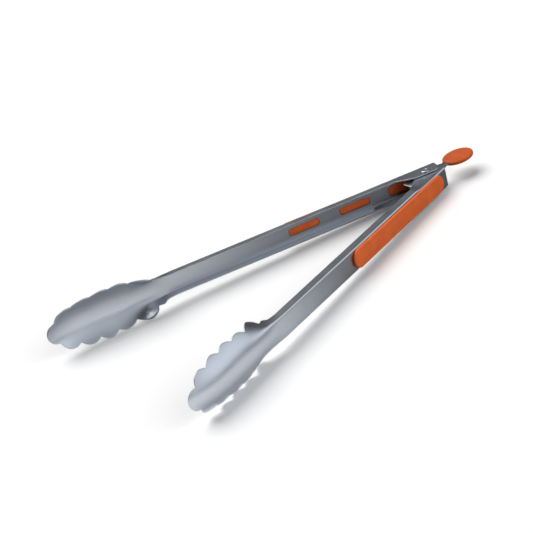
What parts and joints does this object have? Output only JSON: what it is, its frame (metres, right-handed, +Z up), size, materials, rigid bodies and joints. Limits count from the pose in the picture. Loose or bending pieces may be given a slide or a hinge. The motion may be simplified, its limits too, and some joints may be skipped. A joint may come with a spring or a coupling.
{
  "type": "spring-loaded kitchen tongs",
  "caption": "Hinged stainless steel tongs with scalloped scoop heads, silicone grips, a torsion spring and a pull-tab lock, lying open on their side.",
  "frame": {"origin": "centre of the flat lower head of the hinge rivet, on its underside", "axes": "+Z up along the hinge axis, +X along the line halfway between the arms from the hinge towards the pull tab, so the scoops lie towards -X; +Y towards the right arm"},
  "size_m": [0.3264, 0.1646, 0.0368],
  "materials": {
    "satin_steel": "satin",
    "spring_steel": "satin",
    "orange_silicone": "matte"
  },
  "bodies": {
    "right_arm": {"right_arm": "satin_steel", "right_arm_grip": "orange_silicone", "hinge_rivet": "satin_steel", "hinge_spring": "spring_steel"},
    "left_arm": {"left_arm": "satin_steel", "left_arm_grip": "orange_silicone"},
    "lock_guide": {"hinge_bush": "satin_steel"},
    "lock": {"lock_strip": "satin_steel", "lock_pin": "spring_steel", "pull_tab": "orange_silicone"}
  },
  "joints": [
    {"name": "arm_hinge", "type": "hinge", "parent": "right_arm", "child": "left_arm", "pos_m": [0, 0, 0.0097], "axis": [0, 0, -1], "range_deg": [0, 29.4], "stiffness_Nm_per_rad": 0.65, "springref_deg": -22.06, "deforming": ["hinge_spring"]},
    {"name": "lock_swing", "type": "hinge", "parent": "right_arm", "child": "lock_guide", "pos_m": [0, 0, 0.0097], "axis": [0, 0, -1], "range_deg": [0, 14.7]},
    {"name": "lock_slide", "type": "slide", "parent": "lock_guide", "child": "lock", "axis": [1, 0, 0], "range_m": [0, 0.004]}
  ],
  "couplings": [
    {"joint": "lock_swing", "follows": "arm_hinge", "ratio": 0.5}
  ]
}
